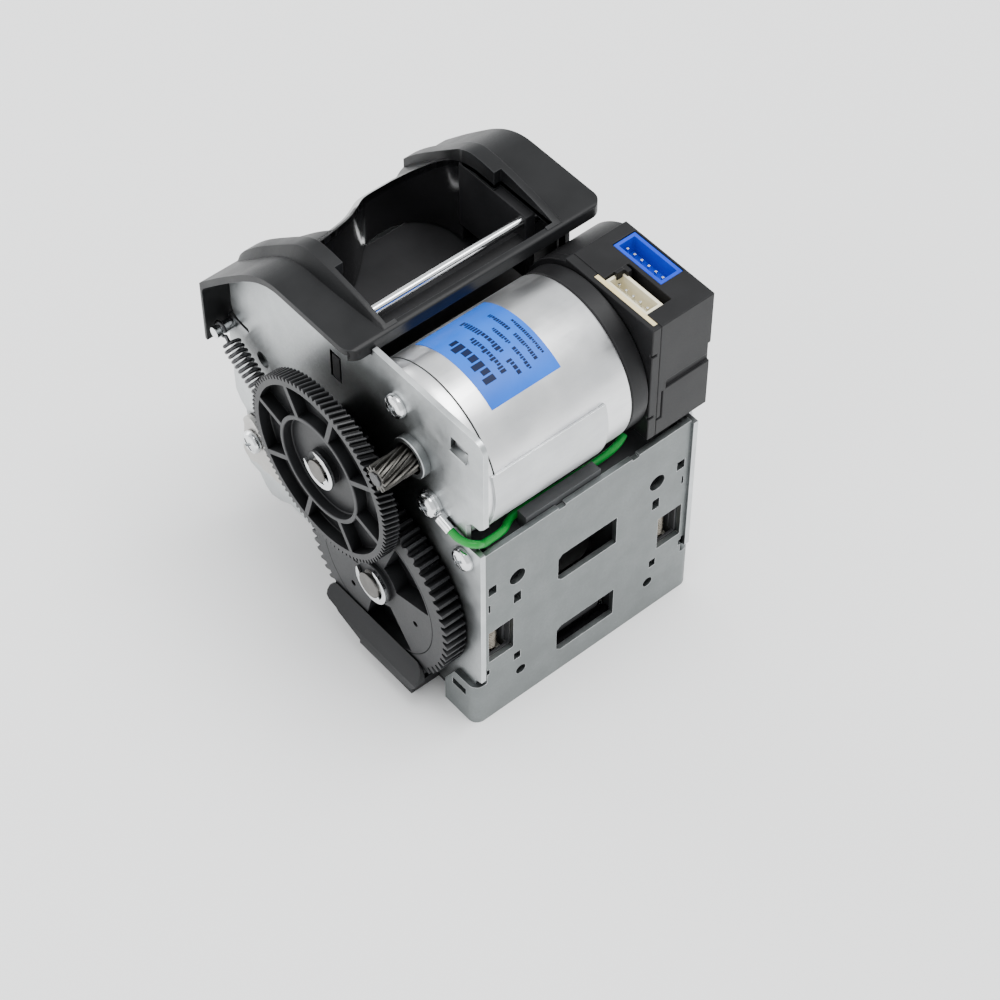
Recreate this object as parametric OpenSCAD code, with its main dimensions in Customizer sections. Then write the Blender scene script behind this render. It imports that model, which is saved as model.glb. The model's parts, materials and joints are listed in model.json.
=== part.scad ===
// Motor-driven bill transport head: sheet-steel side plates, a side gear train,
// a feed drum with two sprung rollers, and a moulded hood with the bill mouth.
// X runs across the unit, Y from the front plate to the back, Z up.
// The origin lies midway between the two front mounting holes, on the front face.

/* [Frame] */
// width over the two side plates
body_w = 56; // [50:0.5:64]
// sheet thickness of the steel frame
plate_t = 1.2; // [0.8:0.1:2]
// height of the front plate
front_h = 53; // [46:0.5:60]
// height of the side plates at the front
side_h = 87; // [80:0.5:95]

/* [Mounting] */
// spacing of the two round mounting holes
hole_gap = 36.5; // [30:0.5:42]
// height of the mounting holes above the base
hole_z = 40.4; // [36:0.1:44]
// radius of the mounting holes
hole_r = 2; // [1.5:0.05:2.6]
// spacing of the two lower pilot holes
pilot_gap = 34.4; // [30:0.2:40]

/* [Motor] */
// motor can radius
can_r = 18; // [16:0.25:19]
// length of the motor can
can_len = 37.35; // [30:0.05:42]
// motor axis, distance behind the front face
motor_y = 18.3; // [17:0.1:20]
// motor axis, height above the base
motor_z = 68; // [66:0.1:70]
// motor shaft radius
motor_shaft_r = 1.59; // [1:0.01:2]

/* [Gears] */
// module of the motor pinion and the large wheel
mod_a = 0.42; // [0.4:0.01:0.5]
// teeth on the motor pinion
pinion_n = 12; // [10:1:16]
// teeth on the large wheel
wheel_n = 98; // [80:1:110]
// module of the second stage
mod_b = 0.7; // [0.6:0.05:0.8]
// teeth on the small gear behind the wheel
small_n = 23; // [18:1:30]
// teeth on the feed gear
feed_n = 61; // [50:1:70]
// play between meshing flanks
backlash = 0.12; // [0.05:0.01:0.2]

/* [Feed] */
// feed drum radius over the rubber
drum_r = 19; // [16:0.5:20]
// feed shaft radius
feed_r = 3; // [2.5:0.1:4]
// rear pinch roller radius
pinch_r = 6; // [4:0.5:8]
// front idler roller radius
idler_r = 5.2; // [4:0.1:6]
// gap between a roller and the drum, one note thick
nip = 0.15; // [0.1:0.05:0.3]

/* [Output] */
// which piece to draw

/* [Hidden] */
$fn = 48;

xl = -body_w / 2;                    // outer face of the left side plate
xi = xl + plate_t;                   // its inner face
run = 0.05;                          // radial running clearance
wall = 1.5;                          // hood wall
pressure = 20;                       // gear pressure angle

// gear axes, worked out from tooth counts along the two lines of centres
mesh_a = -37.2;
wheel_y = motor_y + mod_a * (pinion_n + wheel_n) / 2 * cos(mesh_a);
wheel_z = motor_z + mod_a * (pinion_n + wheel_n) / 2 * sin(mesh_a);
mesh_b = -112.6;
feed_y = wheel_y + mod_b * (small_n + feed_n) / 2 * cos(mesh_b);
feed_z = wheel_z + mod_b * (small_n + feed_n) / 2 * sin(mesh_b);

// gear faces, measured outwards from the left side plate
wheel_x = xl - 9.8;
wheel_t = 3.4;
feed_x = xl - 5.3;
feed_t = 4.8;
clip_t = 0.8;

// rollers and levers
pinch_z = feed_z;
pinch_y = feed_y + drum_r + pinch_r + nip;
pivot_y = pinch_y + 2.7;
pivot_z = pinch_z + 14;
idler_z = 10.6;
idler_y = feed_y - sqrt(pow(drum_r + idler_r + nip, 2) - pow(feed_z - idler_z, 2));
idler_x = 22.4;                      // sideways place of the two idler springs
coils = 30;
post_y = 76.8;
post_z = 56.4;
hook_y = pivot_y + 5.6;
hook_z = pivot_z + 5.6;

// screws: two hold the motor, one front and one rear each side hold the plates
screw_a = 63;
screw_pcd = 21.7;
screw_r = 1.5;
head_r = 2.65;
head_h = 1.7;
plate_screw_at = [[4.2, 50.1], [70.7, 26.5]];
guard_x = xl - 8.1;                  // outer face of the guard under the feed gear
lever_t = 1.2;
lever_gap = 0.3;

// hood: outline of the top from the front lip, over the back, to the rear hem
hood_l = xl - 5;
hood_r = -xl + 1.6;
hood = [[30.7, 85.6], [30.7, 87.7], [31, 88.2], [31.6, 88.5], [52.5, 88.5], [55, 88.2],
  [57.6, 87.4], [60.4, 86], [63.2, 84.1], [66, 81.8], [72, 76.4], [77, 71.6],
  [79.4, 69.2], [80.3, 67.8], [80.6, 66.4], [80.6, 52.6]];
ridge = [[31.5, 88.3], [34, 88.9], [38, 90], [44, 91.2], [49, 91.9], [53, 92.1],
  [55.5, 91.8], [58, 90.5], [60.5, 88.7], [66, 84.2], [72, 79], [76.4, 74.4],
  [78.2, 71.8], [78.6, 70], [72, 75.5], [66, 81], [60, 85.2], [52.5, 87.6], [31.5, 87.6]];
mouth_l = -23;
mouth_r = 17.9;
mouth_step = 47.7;
ridge_w = 1.1;                       // width of each ridge beside the front of the mouth
hood_corner = 3;                     // plan radius of the hood's front corners
lip = [[mouth_r - 1.8, 57.4], [16.2, 58.6], [15.9, 61.5], [15, 64], [13.4, 66.3],
  [11.2, 68.1], [8.9, 69], [6.2, 69.5], [3.4, 69.5], [0.6, 69], [-1.6, 67.4], [-3.8, 65.3],
  [-6.2, 63.2], [-8.4, 61.6], [-10.8, 60.5], [-13.8, 59.6], [-16.7, 58.9], [-18.7, 58.4],
  [mouth_l + 2, 57.4]];

// ---------- helpers: heights are given above the base ----------
module side(x, t) translate([x, 0, -hole_z]) rotate([90, 0, 90]) linear_extrude(t) children();
module face(y, t) translate([0, y + t, -hole_z]) rotate([90, 0, 0]) linear_extrude(t) children();
module plan(z, t) translate([0, 0, z - hole_z]) linear_extrude(t) children();
module bar(x0, x1, y, z, r)
  translate([x0, y, z - hole_z]) rotate([0, 90, 0]) cylinder(h = x1 - x0, r = r);
module box(x0, x1, y0, y1, z0, z1)
  translate([x0, y0, z0 - hole_z]) cube([x1 - x0, y1 - y0, z1 - z0]);
module both() { children(); mirror([1, 0, 0]) children(); }
module dot(p, r) translate(p) circle(r);
module slot(p, w, h) translate([p[0] - w / 2, p[1] - h / 2]) square([w, h]);

function unit(v) = v / norm(v);
function normal2(p, i) = let (a = p[max(i - 1, 0)], b = p[min(i + 1, len(p) - 1)],
  d = unit(b - a)) [d[1], -d[0]];
function inset(p, t) = [for (i = [0 : len(p) - 1]) p[i] + t * normal2(p, i)];
function flip(p) = [for (i = [len(p) - 1 : -1 : 0]) p[i]];
module band(p, t) polygon(concat(p, flip(inset(p, t))));

// involute gear outline; k points up each flank
function inv(a) = tan(a) * 180 / PI - a;
function flank(n, m, r) = let (rp = n * m / 2, rb = rp * cos(pressure))
  90 / n - backlash / 4 / rp * 180 / PI + inv(pressure) - inv(r > rb ? acos(rb / r) : 0);
function gear(n, m, k, phase) = let (rr = n * m / 2 - 1.2 * m, rt = n * m / 2 + 0.88 * m)
  [for (i = [0 : n - 1]) for (s = [0 : 2 * k - 1])
    let (j = s < k ? s : 2 * k - 1 - s, r = rr + (rt - rr) * j / (k - 1),
      a = phase + i * 360 / n + (s < k ? -1 : 1) * flank(n, m, r))
    [r * cos(a), r * sin(a)]];
module gear_at(y, z, n, m, k, phase) translate([y, z]) polygon(gear(n, m, k, phase));

// round wire swept along a list of points
function tangent(p, i) = unit(p[min(i + 1, len(p) - 1)] - p[max(i - 1, 0)]);
function square_to(u, t) = unit(u - (u * t) * t);
function wire_points(p, r, k, u0) = [for (i = 0, u = square_to(u0, tangent(p, 0));
    i < len(p);
    i = i + 1, u = square_to(u, tangent(p, min(i, len(p) - 1))))
  for (s = [0 : k - 1])
    p[i] + r * (cos(s * 360 / k) * u + sin(s * 360 / k) * cross(tangent(p, i), u))];
module wire(p, r, k, u0) {
  n = len(p);
  polyhedron(wire_points(p, r, k, u0), concat(
    [[for (s = [0 : k - 1]) s]],
    [for (i = [0 : n - 2]) for (s = [0 : k - 1]) [i * k + s, (i + 1) * k + s,
      (i + 1) * k + (s + 1) % k, i * k + (s + 1) % k]],
    [[for (s = [k - 1 : -1 : 0]) (n - 1) * k + s]]), convexity = 10);
}
// extension spring along +Z from one hook centre to the other
function spring_path(l, r, hook, turns, q) = let (body = l - 4 * hook) concat(
  [for (a = [200 : -30 : -60]) [0, hook * cos(a), hook * sin(a)]],
  [for (i = [0 : turns * q]) [r * sin(i * 360 / q), r * cos(i * 360 / q),
    2 * hook + body * i / (turns * q)]],
  [for (a = [-120 : 30 : 140]) [0, -hook * cos(a + 180), l + hook * sin(a)]]);

module pan_screw(shank) {
  difference() {
    rotate_extrude() polygon([[0, 0], [head_r, 0], [head_r, 0.7], [2.35, 1.25],
      [1.6, 1.6], [0.8, head_h], [0, head_h]]);
    for (a = [45, 135]) rotate(a) translate([-1.5, -0.32, 0.65]) cube([3, 0.64, 2]);
  }
  translate([0, 0, -shank]) cylinder(h = shank, r = screw_r);
}
module screw_left(x, p, shank)
  translate([x, p[0], p[1] - hole_z]) rotate([0, -90, 0]) pan_screw(shank);

// retaining clip with three inner prongs, open towards angle a
module clip_shape(a, ro, rg) {
  rotate(a) difference() {
    union() {
      difference() { circle(ro); circle(ro - 1.15); }
      for (b = [90, 180, 270]) rotate(b) translate([rg - 0.1, -1.1]) square([ro - rg - 0.5, 2.2]);
    }
    circle(rg);
    translate([0, -ro * 0.62]) square([ro + 1, ro * 1.24]);
  }
}
module clip(x, y, z, a, ro, rg) side(x, clip_t) translate([y, z]) clip_shape(a, ro, rg);

// ---------- steel frame ----------
module plate_back() polygon(concat([[-0.6, 14.3], [-0.6, 54.4], [3.2, 54.4], [3.6, 55.4],
  [3.6, 60.6], [1.9, 62.4], [-0.4, 62.6], [-1.6, 64], [-1.6, side_h - 1.2],
  [-1.3, side_h - 0.4], [-0.5, side_h], [30.4, side_h]],
  [[30.4, 85.2], [32.5, 85.2], [32.5, 86.6], [52, 86.6]], [for (i = [6 : 11]) inset(hood, wall + 0.1)[i]],
  [[76.7, 69.4], [76.8, 61.5], [76.2, 59.6], [74.6, 58.9], [71.6, 58.7], [71.2, 57.9],
  [71.6, 57.6], [77.6, 58.2], [78.4, 57.4], [78.6, 56], [78.5, 46],
  [78.3, 35.2], [76.8, 32.6], [75.2, 31.4], [75, 29], [76.2, 26.4], [76.8, 23], [76.8, 16],
  [75.6, 14], [72.4, 13.4], [70.6, 10.8], [68.6, 9.6], [65.4, 10.4], [62, 12.4], [54, 12],
  [47, 9.4], [44, 6.4], [40, 4], [1.4, 3.6], [1.4, 13.6]]));

module plate_holes() {
  dot([feed_y, feed_z], 4);
  dot([pivot_y, pivot_z], 2 + run);
  for (p = plate_screw_at) dot(p, screw_r + 0.1);
  dot([39.5, 85], 1);
  slot([42.2, 72.2], 3.4, 7.4);
  dot([67.2, 53.2], 1.9);
  dot([68.4, 19.4], 1.5);
  dot([70.9, 31.4], 1.2);
}

module left_side_plate() color("silver") {
  difference() {
    side(xl, plate_t) difference() {
      plate_back();
      plate_holes();
      dot([motor_y, motor_z], 4.55);
      for (s = [-1, 1]) dot([motor_y, motor_z] + s * screw_pcd / 2 * [cos(screw_a), sin(screw_a)],
        screw_r + 0.1);
      dot([wheel_y, wheel_z], 2.5);
      dot([post_y, post_z], 0.9);
      translate([2.7, 79.3]) square([5.1, 3.1]);
    }
  }
  // pressed lip below the small window
  side(xl - 0.6, 0.6 + plate_t / 2) translate([3, 78.7]) square([4.6, 0.6]);
}

module right_side_plate() color("silver")
  side(-xi, plate_t) difference() {
    plate_back();
    plate_holes();
    translate([8, 48.4]) square([30.6, 60]);
    translate([-5, 52.5]) square([43.6, 60]);
  }

module wing_outline() difference() {
  union() {
    for (s = [-1, 1]) translate([s * (-xl + 1.2 - 2.2), 2.2]) circle(2.2);
    translate([xl - 1.2 + 2.2, 0]) square([body_w + 2.4 - 4.4, 4]);
    translate([xl - 1.2, 2.2]) square([body_w + 2.4, 7.4]);
  }
  union() {
    for (s = [-1, 1]) translate([s * (-xl - 1), 2.2]) circle(1);
    translate([xl + 1, plate_t]) square([body_w - 2, 4]);
    translate([xl, 2.2]) square([body_w, 10]);
  }
}

module front_plate() color("gainsboro") {
  difference() {
    union() {
      face(0, plate_t) difference() {
        union() {
          translate([xi + 0.1, 11]) square([2 * (-xi - 0.1), front_h - 11]);
          translate([xl + 2, 0]) square([body_w - 4, 14]);
        }
        front_cuts();
      }
      // corners wrapped back around the side plates
      difference() {
        plan(0, 12) wing_outline();
        box(xl + 2, -xl - 2, -1, plate_t, -1, 13);
        both() box(xl - 2, xl + 1, 3, 7.2, 7.6, 9.6);
        both() side(xl - 2, 4) polygon([[6, 13], [10, 13], [10, 6]]);
      }
      // inner ears that take the side screws
      both() difference() {
        box(xi, xi + plate_t, 0, 7, 17, front_h - 0.8);
        bar(xl, xi + 3, plate_screw_at[0][0], plate_screw_at[0][1], screw_r);
      }
    }
    both() box(xl - 2, xi + 0.7, -1, 1.4, 12, 17);
  }
}
module front_cuts() {
  for (z = [33.85, 10.6]) difference() {
    slot([0, z], 15.4, 8);
    for (c = [[-7.7, z + 4], [-7.7, z - 4]]) translate(c) rotate(45) square(1.5, center = true);
  }
  for (s = [-1, 1]) {
    translate([s * 22.6, 23.3]) square([6.8, 9.6], center = true);
    dot([s * hole_gap / 2, hole_z], hole_r);
    dot([s * pilot_gap / 2, 9.15], 1.25);
    slot([s * 18.2, 33.8], 1.9, 3);
    slot([s * 18.2, 14.7], 1.7, 2.2);
    // bend reliefs beside the ears
    translate([s * 24.9 - 1.35, 39.8]) square([2.7, 2.6]);
    translate([s * 26.1 - 0.4, 39.8]) square([0.8, 4.2]);
    translate([s * 25.8 - 0.7, 34.6]) square([1.4, 2.4]);
    slot([s * 26.6, 15.4], 2.4, 1.6);
  }
  for (x = [-7, 12]) slot([x, front_h], 1.8, 1.2);
}

module rear_stay() color("silver") difference() {
  union() {
    face(73, plate_t) difference() {
      translate([xi, 15]) square([-2 * xi, 32]);
      for (x = [-14, 14]) slot([x, 31], 12, 14);
      slot([0, 31], 8, 20);
    }
    both() side(xi, plate_t) polygon([[64.5, 19], [74.2, 15], [74.2, 36], [64.5, 33]]);
  }
  bar(xl, -xl, plate_screw_at[1][0], plate_screw_at[1][1], screw_r);
  both() bar(xl, xi + 3, 68.4, 19.4, 1.5);
  both() bar(xl, xi + 3, 70.9, 31.4, 1.2);
}

module plate_screws() color("whitesmoke") {
  for (p = plate_screw_at) mirror([1, 0, 0]) screw_left(xl, p, plate_t * 2 + 0.6);
  screw_left(xl, plate_screw_at[0], plate_t * 2 + 0.6);
}
module lever_screw() color("whitesmoke")
  screw_left(xl - lever_t - 2 * lever_gap, plate_screw_at[1], lever_t + 2 * lever_gap + plate_t * 2 + 0.6);
module latch_lever() color("#b9b7ae") difference() {
  union() {
    for (c = [[70.7, 26.5, 3.6], [72, 29.4, 2.6], [73, 20.6, 2.5], [68.3, 20.8, 2.2], [64.3, 21, 2]])
      bar(xl - lever_gap - lever_t, xl - lever_gap, c[0], c[1], c[2]);
    side(xl - lever_gap - lever_t, lever_t)
      polygon([[69.6, 30.2], [74.4, 28.4], [75.4, 21], [71.6, 18.9], [64.6, 19.2], [63.4, 22.6], [67.4, 25.4]]);
  }
  bar(xl - 3, xl, plate_screw_at[1][0], plate_screw_at[1][1], screw_r + run);
}
module spring_post() color("silver") difference() {
  union() {
    bar(xl - 4.8, xl, post_y, post_z, 1.3);
    bar(xl - 0.1, xi, post_y, post_z, 0.9);
  }
  translate([xl - 3, post_y, post_z - hole_z]) rotate([0, 90, 0])
    rotate_extrude() translate([1.65, 0]) circle(0.6);
}

module mouth_rod() color("white") bar(xl, -xl, 39.5, 85, 1);

// ---------- moulded parts ----------
module hood_shell() difference() {
  side(hood_l, hood_r - hood_l) polygon(concat(hood, [[79.1, 52.6]],
    flip([for (i = [4 : 14]) inset(hood, wall)[i]]), [[32.2, 87], [32.2, 85.6]]));
  hood_corner_cut(hood_l, 1);
  hood_corner_cut(hood_r, -1);
}
module hood_corner_cut(x, s) plan(80, 12) difference() {
  translate([s < 0 ? x - hood_corner : x - 1, hood[0][0] - 1]) square(hood_corner + 1);
  translate([x + s * hood_corner, hood[0][0] + hood_corner]) circle(hood_corner);
}
module top_cover() color("#26272a") {
  difference() {
    union() {
      hood_shell();
      for (x = [mouth_l - ridge_w, mouth_r - 1.8]) side(x, ridge_w + 1.9) polygon(ridge);
    }
    plan(60, 40) polygon(concat([[mouth_l, 32.1], [mouth_r, 32.1], [mouth_r, mouth_step],
      [mouth_r - 1.8, mouth_step]], lip, [[mouth_l + 2, mouth_step], [mouth_l, mouth_step]]));
    // finger recess in the back, between the two humps
    plan(58, 40) polygon(concat(inset([for (i = [6 : 15]) lip[i]], 0.8),
      [[-17.5, 70], [-21, 76], [-22, 84], [20.4, 84], [20.4, 79.6], [13.3, 73.8]]));
  }
  // curtain wall round the recess, down to the rear guide
  intersection() {
    side(xl, body_w) polygon(concat([for (i = [4 : 12]) hood[i]], [[78, 66], [33, 66]]));
    plan(60, 40) band(lip, 1.5);
  }
}

module front_guide() color("#1c1d20") difference() {
  union() {
    side(xi, -2 * xi)
      polygon([[42.5, 46.8], [44, 46.8], [44, 60], [41.9, 80], [40.3, 81], [40.3, 80], [42.5, 60]]);
    both() box(xl, xi, 41.1, 43.2, 69, 75.2);
    // low wall that closes the gap to the hood's front lip
    side(xi, -2 * xi) polygon([[40.3, 81], [40.3, 79.6], [37.8, 78.8], [36.9, 79.4]]);
  }
  for (x = [-16, 0, 16]) box(x - 3, x + 3, 42, 45, 50, 56);
}

module rear_guide() color("#1c1d20") difference() {
  union() {
    side(xi, -2 * xi) band([[46.6, 34], [46.6, 56], [47.2, 59.2], [49.2, 62], [52.4, 63.8],
      [57, 64.8], [63, 65.3], [69, 65.6]], 1.6);
    for (x = [-22, -8, 8, 22]) side(x - 0.6, 1.2)
      polygon([[48.1, 50], [48.1, 60], [50, 60.8], [52.6, 62.2], [57, 63.3], [66, 64.1], [55, 60], [50, 50]]);
  }
  box(-8, 8, 46, 49, 33, 36);
}

module lower_guide() color("#202124") {
  difference() {
    union() {
      // floor, rear wall of the exit, and the guard over the feed gear
      box(xi, -xi, 12.2, 44.2, 0, 2);
      side(xi, -2 * xi) polygon([[42.4, 2], [44.2, 2], [44.2, 16.4], [43.4, 17], [42.4, 16]]);
      box(guard_x + 1.6, xi, 14, 31, 1.2, 3.4);
      side(guard_x, 2.5) polygon([[40.6, 10.2], [40.5, 11.4], [39.8, 12.2], [38.8, 12.6], [12.8, 12.6],
        [11.4, 11.8], [10.6, 10.2], [10.7, 8], [11.6, 6.7], [13.4, 5.8], [17, 5.2], [22, 5], [27.2, 5.4],
        [32.4, 7.2], [36.6, 8.7], [39.4, 9], [40.3, 9.4]]);
      side(guard_x + 1.6, 0.9) polygon([[14, 2.4], [31, 2.4], [32.4, 9], [13, 9]]);
    }
    // the top of the guard slopes down and outwards
    face(0, 60) polygon([[guard_x - 1, 6.6], [guard_x, 8.4], [guard_x + 2.4, 12.6],
      [guard_x + 2.4, 20], [guard_x - 1, 20]]);
    box(-9, 9, 14, 41, 1, 3);
  }
  // ribs that carry the note round under the drum
  for (x = [-20, -12, 11, 19]) side(x, 1.2)
    polygon([[14, 2], [42.5, 2], [42.5, 12], [39.5, 8.6], [35, 6.2], [30, 4.8], [22, 4.6], [16, 5.8], [14, 5]]);
}

module front_block() color("#232427") {
  front_block_body();
  both() bar(idler_x - 2.8, idler_x + 2.8, 4.2, 32.75, 0.45);
}
module front_block_body() difference() {
  union() {
    side(xi + plate_t + 0.05, -2 * (xi + plate_t + 0.05)) polygon([[1.35, 3.4], [11.6, 3.4],
      [11.6, 48.4], [8, 48.4], [8, 50.4], [1.35, 50.4]]);
    // raised bar behind the top edge of the front plate
    box(-15, 4, 1.35, 4, 50, 54.4);
  }
  // room for the drum and the idler roller
  box(-9.4, 9.4, 0, 20, 0, 46.6);
  box(-25, 25, 9.2, 20, 16.6, 46.6);
  // axle and block channels, each open to the front window above it
  both() {
    box(idler_x - 2.7, idler_x + 2.7, 2, 20, 0, 16.6);
    box(idler_x - 2.7, idler_x + 2.7, 2, 7.6, 16.5, 36);
    box(idler_x - 3.2, idler_x + 2.8, 1, 3, 18.5, 28.1);
    box(9, 20, 5.2, 9.6, 0, 12.6);
    dot_y(hole_gap / 2, hole_z, 2.4, 9);
    dot_y(pilot_gap / 2, 9.15, 1.5, 6);
    // clearance for the tips of the two front plate screws
    bar(-xi - plate_t - 2, -xi, plate_screw_at[0][0], plate_screw_at[0][1], screw_r + run);
  }
}
module dot_y(x, z, r, d) translate([x, 0, z - hole_z]) rotate([-90, 0, 0]) cylinder(h = d, r = r);

// ---------- motor ----------
module can_outline(r) difference() {
  translate([motor_y, motor_z]) circle(r);
  translate([motor_y, motor_z]) rotate(151.5) translate([can_r * 0.986, -9]) square([6, 18]);
}
module motor_can() color("lightgray") difference() {
  side(xi, can_len) can_outline(can_r);
  bar(xi + 1.4, xi + can_len + 1, motor_y, motor_z, can_r - 1.4);
  bar(xi - 1, xi + 2, motor_y, motor_z, 2.4);
  for (s = [-1, 1]) bar(xi - 1, xi + 2, motor_y + s * screw_pcd / 2 * cos(screw_a),
    motor_z + s * screw_pcd / 2 * sin(screw_a), screw_r);
}
module flux_ring() color("silver")
  side(xi + 2.7, 28) difference() {
    translate([motor_y, motor_z]) circle(can_r + 0.75);
    translate([motor_y, motor_z]) circle(can_r + 0.02);
    // open from the top of the wrap round to the front lap
    translate([motor_y, motor_z]) polygon([[0, 0], 30 * [cos(20), sin(20)], [30, 30], [0, 40],
      [-30, 30], 30 * [cos(161), sin(161)]]);
  }
module motor_label() color("#2f7fd0")
  side(xl + 9.8, 16.7) difference() {
    translate([motor_y, motor_z]) circle(can_r + 0.12);
    translate([motor_y, motor_z]) circle(can_r + 0.01);
    translate([motor_y, motor_z]) polygon([[0, 0], 30 * [cos(126.5), sin(126.5)], [-40, 0],
      [0, -40], [40, 0], 30 * [cos(34), sin(34)]]);
  }
module motor_boss() color("lightgray") difference() {
  union() {
    bar(xl - 1.75, xi, motor_y, motor_z, 4.55);
    bar(xi - 0.1, xi + 1.4, motor_y, motor_z, 2.4);
  }
  bar(xl - 3, xl + 0.3, motor_y, motor_z, 3.5);
  bar(xl - 3, xi + 3, motor_y, motor_z, motor_shaft_r + run);
}
module motor_end_ring() color("#2a2b2e") difference() {
  bar(xi + can_len, xl + 43, motor_y, motor_z, can_r);
  bar(xi + can_len - 1, xl + 41.4, motor_y, motor_z, can_r - 2);
  bar(xl + 30, xl + 44, motor_y, motor_z, motor_shaft_r + run);
}
module motor_screws() color("whitesmoke") {
  at = [motor_y, motor_z];
  arm = screw_pcd / 2 * [cos(screw_a), sin(screw_a)];
  screw_left(xl, at + arm, plate_t + 1.4);
  screw_left(xl - clip_t, at - arm, clip_t + plate_t + 1.4);
}

module motor_armature() color("#8a5a3a") difference() {
  bar(xi + 6, xi + 30, motor_y, motor_z, 13.6);
  bar(xi, xi + 40, motor_y, motor_z, motor_shaft_r);
  for (a = [0 : 72 : 288]) translate([0, motor_y, motor_z - hole_z]) rotate([a, 0, 0])
    translate([xi, -0.7, 11]) cube([40, 1.4, 5]);
}
module motor_shaft() color("silver") bar(wheel_x - 0.1, xl + 54, motor_y, motor_z, motor_shaft_r);
module motor_pinion() color("darkgray") difference() {
  side(wheel_x + 0.2, 8.1) gear_at(motor_y, motor_z, pinion_n, mod_a, 4, mesh_a);
  bar(wheel_x - 1, xl, motor_y, motor_z, motor_shaft_r);
}
module encoder_disc() color("#b9c4cc") difference() {
  union() {
    bar(xl + 50.4, xl + 50.8, motor_y, motor_z, 11.4);
    bar(xl + 48.6, xl + 53, motor_y, motor_z, 3);
  }
  bar(xl + 40, xl + 60, motor_y, motor_z, motor_shaft_r);
}

// ---------- encoder housing with its two headers ----------
module encoder_outline() difference() {
  union() {
    translate([motor_y, motor_z]) circle(19);
    translate([0.3, 55.4]) square([25.1, 31.1]);
  }
  translate([-30, 30]) square([30.3, 90]);
  translate([-5, 86.5]) square([30.4, 9]);
}
module encoder_base() color("#303134") difference() {
  side(xl + 43, 2.1) encoder_outline();
  box(xl + 44.1, xl + 46, 1.5, 18.3, 74, 90);
  bar(xl + 40, xl + 50, motor_y, motor_z, 4);
  for (z = [61.4, 79]) box(xl + 42, xl + 44.2, -1, 0.9, z, z + 0.5);
}
module encoder_cap() color("#2c2d30") difference() {
  side(xl + 45.1, 13.5) encoder_outline();
  bar(xl + 44, xl + 57, motor_y, motor_z, 12.4);
  // wells for the headers
  box(xl + 45, xl + 51.3, 4.5, 16.6, 81, 90);
  box(xl + 52.3, xl + 58.1, 8.5, 22.3, 81, 90);
  // groove and notch on the front and right sides
  box(xl + 47.2, xl + 60, -1, 0.85, 67.8, 70);
  box(xl + 58, xl + 60, -1, 3.4, 69.6, 72.9);
  box(xl + 45, xl + 46.5, -1, 0.7, 59.8, 60.3);
  box(xl + 46.1, xl + 46.5, -1, 0.7, 60, 67.5);
}
module encoder_board() color("#e6d9a8") box(xl + 44.1, xl + 45.1, 1.5, 18.3, 74, 86.3);
module open_box(x0, x1, y0, y1, z0, z1, t) difference() {
  box(x0, x1, y0, y1, z0, z1);
  box(x0 + t, x1 - t, y0 + t, y1 - t, z0 + 1, z1 + 1);
}
module signal_header() color("#efe8cf") difference() {
  open_box(xl + 45.1, xl + 49.5, 4.7, 16.4, 81, 86, 0.7);
  for (i = [0 : 4]) box(xl + 46.95, xl + 47.45, 6.3 + 2 * i, 6.8 + 2 * i, 80, 83);
}
module power_header() color("#1546d0") difference() {
  open_box(xl + 52.4, xl + 58, 8.6, 22.2, 81, 86.3, 0.8);
  for (i = [0 : 5]) box(xl + 54.35, xl + 54.85, 10.15 + 2 * i, 10.65 + 2 * i, 80, 83);
}
module header_pins() color("gainsboro") {
  for (i = [0 : 4]) box(xl + 46.95, xl + 47.45, 6.3 + 2 * i, 6.8 + 2 * i, 81, 85.2);
  for (i = [0 : 5]) box(xl + 54.35, xl + 54.85, 10.15 + 2 * i, 10.65 + 2 * i, 81, 85.4);
}

// ---------- ground lead ----------
lug_a = 194;
module ring_terminal() color("silver") {
  p = [motor_y, motor_z] - screw_pcd / 2 * [cos(screw_a), sin(screw_a)];
  side(xl - clip_t, clip_t) difference() {
    union() {
      dot(p, 3.1);
      translate(p) rotate(lug_a) translate([0, -1]) square([4.4, 2]);
    }
    dot(p, screw_r + 0.1);
  }
  translate([xl - 1.1, p[0], p[1] - hole_z]) rotate([lug_a, 0, 0]) rotate([-90, 0, 0])
    translate([0, 0, 3.4]) difference() { cylinder(h = 3.4, r = 1.1); translate([0, 0, 1.4]) cylinder(h = 3, r = 0.82); }
}
wire_run = [[-29.1, 8.6, 57.1], [-29.1, 6.8, 56.7], [-29.1, 5.2, 56.5], [-28.9, 3.8, 56.5],
  [-28.4, 2.4, 56.5], [-27.4, 1.5, 56.3], [-26.4, 1.5, 55.5], [-25.2, 1.9, 54.4], [-23.6, 2.2, 53.8], [-21.4, 2.4, 53.5], [-19.2, 2.9, 53.1],
  [-17.2, 4.2, 52.4], [-15.2, 5, 52], [-11.4, 5.2, 51.8], [-7, 5.2, 51.7], [-2.6, 5.1, 51.7],
  [1.8, 5, 51.8], [5, 4.8, 52], [7.6, 4.5, 52.6], [9.8, 4.3, 53.4], [11.6, 4.4, 54.2],
  [13, 4.9, 54.7]];
module ground_wire() color("#12a04a")
  wire([for (p = wire_run) [p[0], p[1], p[2] - hole_z]], 0.8, 8, [0, 0, 1]);

// ---------- gear train ----------
module gear_stub() color("silver") difference() {
  bar(wheel_x - 0.5, xi, wheel_y, wheel_z, 2.5);
  side(wheel_x - 0.15, clip_t + 0.1) translate([wheel_y, wheel_z]) difference() { circle(4); circle(2); }
}
module stub_clip() color("whitesmoke") clip(wheel_x - 0.1, wheel_y, wheel_z, 35, 4.5, 2);

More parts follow.
